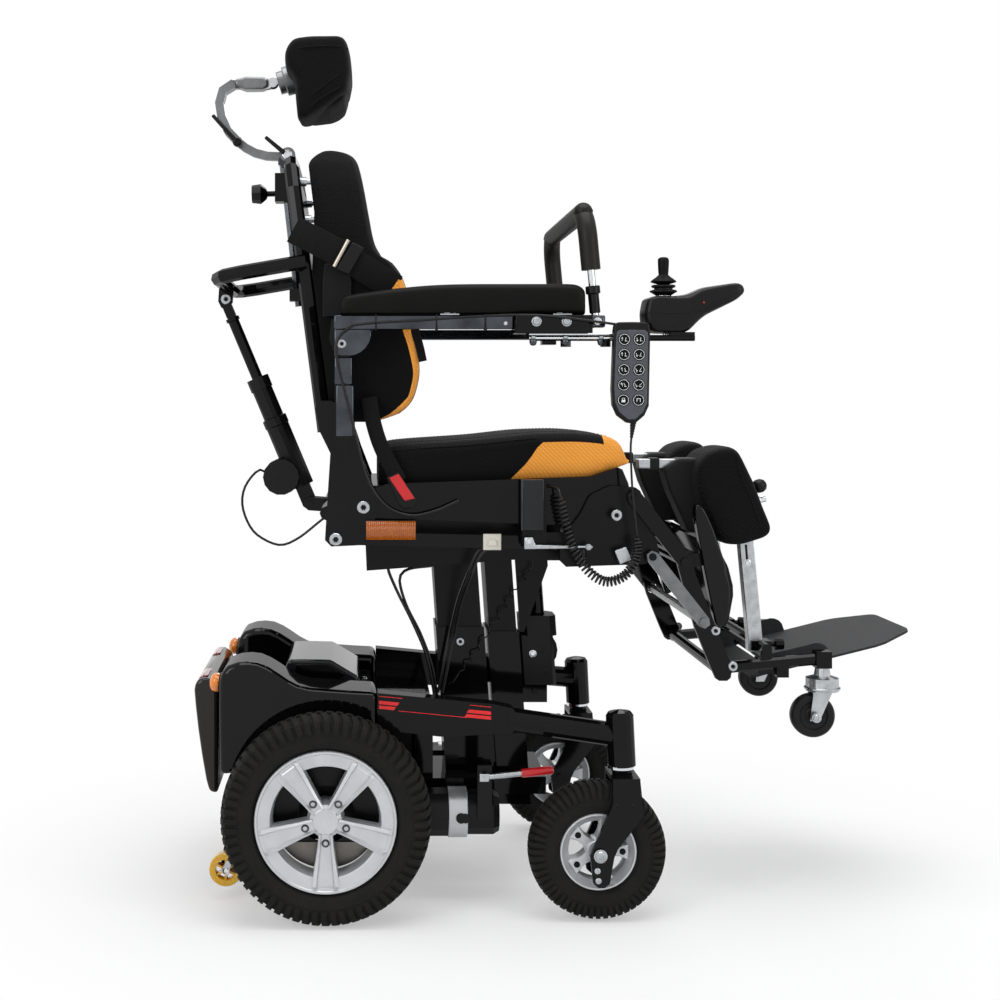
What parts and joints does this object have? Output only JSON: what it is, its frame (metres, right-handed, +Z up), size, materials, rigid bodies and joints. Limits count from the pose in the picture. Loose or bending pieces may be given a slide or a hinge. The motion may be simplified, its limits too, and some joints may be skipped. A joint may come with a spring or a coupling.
{
  "type": "powered lift and stand wheelchair",
  "caption": "Powered wheelchair with a telescopic lift column, a parallelogram that raises the seat to standing, a reclining back, flip-up armrests, knee supports and a swinging leg frame.",
  "frame": {"origin": "centre of the chair's bounding box at floor level, measured without the cords", "axes": "+X towards the chair's front, +Y towards its left side, +Z up"},
  "size_m": [1.2355, 0.655, 1.4702],
  "materials": {
    "black_paint": "gloss black paint",
    "black_anodised": "black anodised",
    "gloss_shell": "gloss black",
    "silver_alloy": "satin silver",
    "zinc_steel": "bright zinc",
    "tyre_rubber": "matte black",
    "black_plastic": "black",
    "black_fabric": "black woven cover over foam",
    "black_foam": "black foam skin",
    "grey_arm": "grey",
    "yellow_polyurethane": "yellow",
    "red_grip": "red",
    "grit_sheet": "black grit",
    "cord_rubber": "black",
    "grey_cover": "grey"
  },
  "bodies": {
    "base": {"chassis_frame": "black_paint", "body_shell": "gloss_shell", "battery_cover": "grey_cover", "rear_cover": "gloss_shell", "battery_pack": "black_plastic", "lift_actuator": "black_plastic", "drive_motor_right": "black_plastic", "drive_motor_left": "black_plastic"},
    "lift_tube": {"lift_tube": "black_paint"},
    "carriage": {"lift_carriage": "black_anodised", "handset_cord": "cord_rubber", "lift_lead": "cord_rubber"},
    "seat": {"seat_frame": "black_paint", "seat_cushion": "black_fabric"},
    "link": {"parallel_link": "zinc_steel"},
    "carrier": {"back_carrier": "black_paint"},
    "back": {"back_frame": "black_paint", "back_cushion": "black_fabric"},
    "recline_tube": {"recline_tube": "black_plastic"},
    "recline_rod": {"recline_rod": "zinc_steel"},
    "head_stem": {"headrest_stem": "zinc_steel"},
    "head_lower_arm": {"headrest_lower_arm": "grey_arm"},
    "head_upper_arm": {"headrest_upper_arm": "grey_arm"},
    "headrest": {"headrest_mount": "silver_alloy", "headrest_pad": "black_fabric"},
    "armrest_right": {"armrest_right": "black_paint", "arm_pad_right": "black_foam", "joystick_box": "black_plastic", "handset": "black_plastic"},
    "armrest_left": {"armrest_left": "black_paint", "arm_pad_left": "black_foam"},
    "gimbal": {"joystick_gimbal": "zinc_steel"},
    "stick": {"joystick_stick": "black_plastic"},
    "grab_bar": {"grab_bar": "black_foam"},
    "leg_arm": {"leg_arm": "black_paint"},
    "leg_bars": {"leg_bars": "silver_alloy"},
    "leg_frame": {"leg_frame": "black_paint"},
    "footplate": {"footplate": "grit_sheet"},
    "rear_wheel_right": {"rear_tyre_right": "tyre_rubber", "rear_rim_right": "silver_alloy"},
    "caster_fork_right": {"caster_fork_right": "black_paint"},
    "caster_wheel_right": {"caster_tyre_right": "tyre_rubber", "caster_rim_right": "silver_alloy"},
    "antitip_wheel_right": {"antitip_wheel_right": "yellow_polyurethane"},
    "brake_lever_right": {"brake_lever_right": "red_grip"},
    "knee_support_right": {"knee_post_right": "zinc_steel", "knee_pad_right": "black_fabric"},
    "small_fork_right": {"small_fork_right": "zinc_steel"},
    "small_wheel_right": {"small_wheel_right": "tyre_rubber"},
    "rear_wheel_left": {"rear_tyre_left": "tyre_rubber", "rear_rim_left": "silver_alloy"},
    "caster_fork_left": {"caster_fork_left": "black_paint"},
    "caster_wheel_left": {"caster_tyre_left": "tyre_rubber", "caster_rim_left": "silver_alloy"},
    "antitip_wheel_left": {"antitip_wheel_left": "yellow_polyurethane"},
    "brake_lever_left": {"brake_lever_left": "red_grip"},
    "knee_support_left": {"knee_post_left": "zinc_steel", "knee_pad_left": "black_fabric"},
    "small_fork_left": {"small_fork_left": "zinc_steel"},
    "small_wheel_left": {"small_wheel_left": "tyre_rubber"}
  },
  "joints": [
    {"name": "lift", "type": "slide", "parent": "base", "child": "carriage", "axis": [-0.0698, 0, 0.9976], "range_m": [-0.2, 0], "deforming": ["lift_lead"]},
    {"name": "lift_tube_slide", "type": "slide", "parent": "base", "child": "lift_tube", "axis": [-0.0698, 0, 0.9976], "range_m": [-0.1, 0]},
    {"name": "seat_stand", "type": "hinge", "parent": "carriage", "child": "seat", "pos_m": [0.0833, 0, 0.6562], "axis": [0, 1, 0], "range_deg": [0, 75], "deforming": ["handset_cord"]},
    {"name": "link_pivot", "type": "hinge", "parent": "carriage", "child": "link", "pos_m": [0.0374, 0, 0.6032], "axis": [0, 1, 0], "range_deg": [0, 75]},
    {"name": "carrier_pivot", "type": "hinge", "parent": "seat", "child": "carrier", "pos_m": [-0.332, 0, 0.6657], "axis": [0, 1, 0], "range_deg": [-75, 0]},
    {"name": "recline", "type": "hinge", "parent": "carrier", "child": "back", "pos_m": [-0.3595, 0, 0.743], "axis": [0, -1, 0], "range_deg": [0, 60]},
    {"name": "recline_tube_pivot", "type": "hinge", "parent": "carrier", "child": "recline_tube", "pos_m": [-0.4282, 0, 0.6575], "axis": [0, -1, 0], "range_deg": [0, 58.9]},
    {"name": "recline_rod_slide", "type": "slide", "parent": "recline_tube", "child": "recline_rod", "axis": [-0.3875, 0, 0.9219], "range_m": [-0.11, 0]},
    {"name": "headrest_height", "type": "slide", "parent": "back", "child": "head_stem", "axis": [-0.1117, 0, 0.9937], "range_m": [0, 0.1]},
    {"name": "headrest_lower_swing", "type": "hinge", "parent": "head_stem", "child": "head_lower_arm", "pos_m": [-0.4675, 0, 1.282], "axis": [0, -1, 0], "range_deg": [-3, 12]},
    {"name": "headrest_upper_swing", "type": "hinge", "parent": "head_lower_arm", "child": "head_upper_arm", "pos_m": [-0.5575, 0, 1.307], "axis": [0, -1, 0], "range_deg": [-5, 30]},
    {"name": "headrest_tilt", "type": "hinge", "parent": "head_upper_arm", "child": "headrest", "pos_m": [-0.5135, 0, 1.409], "axis": [0, -1, 0], "range_deg": [-5, 15]},
    {"name": "grab_bar_lift", "type": "slide", "parent": "carrier", "child": "grab_bar", "axis": [0, 0, 1], "range_m": [0, 0.15]},
    {"name": "joystick_side", "type": "hinge", "parent": "armrest_right", "child": "gimbal", "pos_m": [0.1615, -0.24, 1.012], "axis": [1, 0, 0], "range_deg": [-18, 18], "stiffness_Nm_per_rad": 0.2},
    {"name": "joystick_forward", "type": "hinge", "parent": "gimbal", "child": "stick", "pos_m": [0.1615, -0.24, 1.012], "axis": [0, 1, 0], "range_deg": [-18, 18], "stiffness_Nm_per_rad": 0.2},
    {"name": "leg_swing", "type": "hinge", "parent": "carriage", "child": "leg_arm", "pos_m": [0.1157, 0, 0.6829], "axis": [0, -1, 0], "range_deg": [-10, 40]},
    {"name": "leg_bars_pivot", "type": "hinge", "parent": "carriage", "child": "leg_bars", "pos_m": [0.1438, 0, 0.5852], "axis": [0, -1, 0], "range_deg": [-10, 40]},
    {"name": "leg_frame_pivot", "type": "hinge", "parent": "leg_arm", "child": "leg_frame", "pos_m": [0.2001, 0, 0.5753], "axis": [0, -1, 0], "range_deg": [-40, 10]},
    {"name": "footplate_flip", "type": "hinge", "parent": "leg_frame", "child": "footplate", "pos_m": [0.3725, 0, 0.3836], "axis": [0, -1, 0], "range_deg": [0, 30]},
    {"name": "rear_wheel_right", "type": "hinge", "parent": "base", "child": "rear_wheel_right", "pos_m": [-0.3925, -0.29, 0.17], "axis": [0, 1, 0], "continuous": true},
    {"name": "caster_swivel_right", "type": "hinge", "parent": "base", "child": "caster_fork_right", "pos_m": [0.0861, -0.26, 0.329], "axis": [-0.0462, 0, 0.9989], "continuous": true},
    {"name": "caster_wheel_right", "type": "hinge", "parent": "caster_fork_right", "child": "caster_wheel_right", "pos_m": [0.04814, -0.26, 0.112], "axis": [0, 1, 0], "continuous": true},
    {"name": "antitip_wheel_right", "type": "hinge", "parent": "base", "child": "antitip_wheel_right", "pos_m": [-0.5645, -0.165, 0.05], "axis": [0, 1, 0], "continuous": true},
    {"name": "brake_release_right", "type": "hinge", "parent": "base", "child": "brake_lever_right", "pos_m": [-0.1305, -0.222, 0.222], "axis": [0, -1, 0], "range_deg": [0, 30]},
    {"name": "armrest_flip_right", "type": "hinge", "parent": "carrier", "child": "armrest_right", "pos_m": [-0.3675, -0.24, 0.9356], "axis": [0, -1, 0], "range_deg": [0, 90]},
    {"name": "knee_height_right", "type": "slide", "parent": "leg_frame", "child": "knee_support_right", "axis": [0, 0, 1], "range_m": [0, 0.04]},
    {"name": "small_swivel_right", "type": "hinge", "parent": "leg_frame", "child": "small_fork_right", "pos_m": [0.4405, -0.18, 0.354], "axis": [0, 0, 1], "continuous": true},
    {"name": "small_wheel_right", "type": "hinge", "parent": "small_fork_right", "child": "small_wheel_right", "pos_m": [0.4235, -0.18, 0.313], "axis": [0, 1, 0], "continuous": true},
    {"name": "rear_wheel_left", "type": "hinge", "parent": "base", "child": "rear_wheel_left", "pos_m": [-0.3925, 0.29, 0.17], "axis": [0, 1, 0], "continuous": true},
    {"name": "caster_swivel_left", "type": "hinge", "parent": "base", "child": "caster_fork_left", "pos_m": [0.0861, 0.26, 0.329], "axis": [-0.0462, 0, 0.9989], "continuous": true},
    {"name": "caster_wheel_left", "type": "hinge", "parent": "caster_fork_left", "child": "caster_wheel_left", "pos_m": [0.04814, 0.26, 0.112], "axis": [0, 1, 0], "continuous": true},
    {"name": "antitip_wheel_left", "type": "hinge", "parent": "base", "child": "antitip_wheel_left", "pos_m": [-0.5645, 0.165, 0.05], "axis": [0, 1, 0], "continuous": true},
    {"name": "brake_release_left", "type": "hinge", "parent": "base", "child": "brake_lever_left", "pos_m": [-0.1305, 0.222, 0.222], "axis": [0, -1, 0], "range_deg": [0, 30]},
    {"name": "armrest_flip_left", "type": "hinge", "parent": "carrier", "child": "armrest_left", "pos_m": [-0.3675, 0.24, 0.9356], "axis": [0, -1, 0], "range_deg": [0, 90]},
    {"name": "knee_height_left", "type": "slide", "parent": "leg_frame", "child": "knee_support_left", "axis": [0, 0, 1], "range_m": [0, 0.04]},
    {"name": "small_swivel_left", "type": "hinge", "parent": "leg_frame", "child": "small_fork_left", "pos_m": [0.4405, 0.18, 0.354], "axis": [0, 0, 1], "continuous": true},
    {"name": "small_wheel_left", "type": "hinge", "parent": "small_fork_left", "child": "small_wheel_left", "pos_m": [0.4235, 0.18, 0.313], "axis": [0, 1, 0], "continuous": true}
  ],
  "couplings": [
    {"joint": "lift_tube_slide", "follows": "lift", "ratio": 0.5},
    {"joint": "link_pivot", "follows": "seat_stand", "ratio": 1},
    {"joint": "carrier_pivot", "follows": "seat_stand", "ratio": -1},
    {"joint": "recline_tube_pivot", "follows": "recline", "ratio": 0.98},
    {"joint": "recline_rod_slide", "follows": "recline", "m_per_rad": -0.104},
    {"joint": "leg_bars_pivot", "follows": "leg_swing", "ratio": 1},
    {"joint": "leg_frame_pivot", "follows": "leg_swing", "ratio": -1}
  ]
}
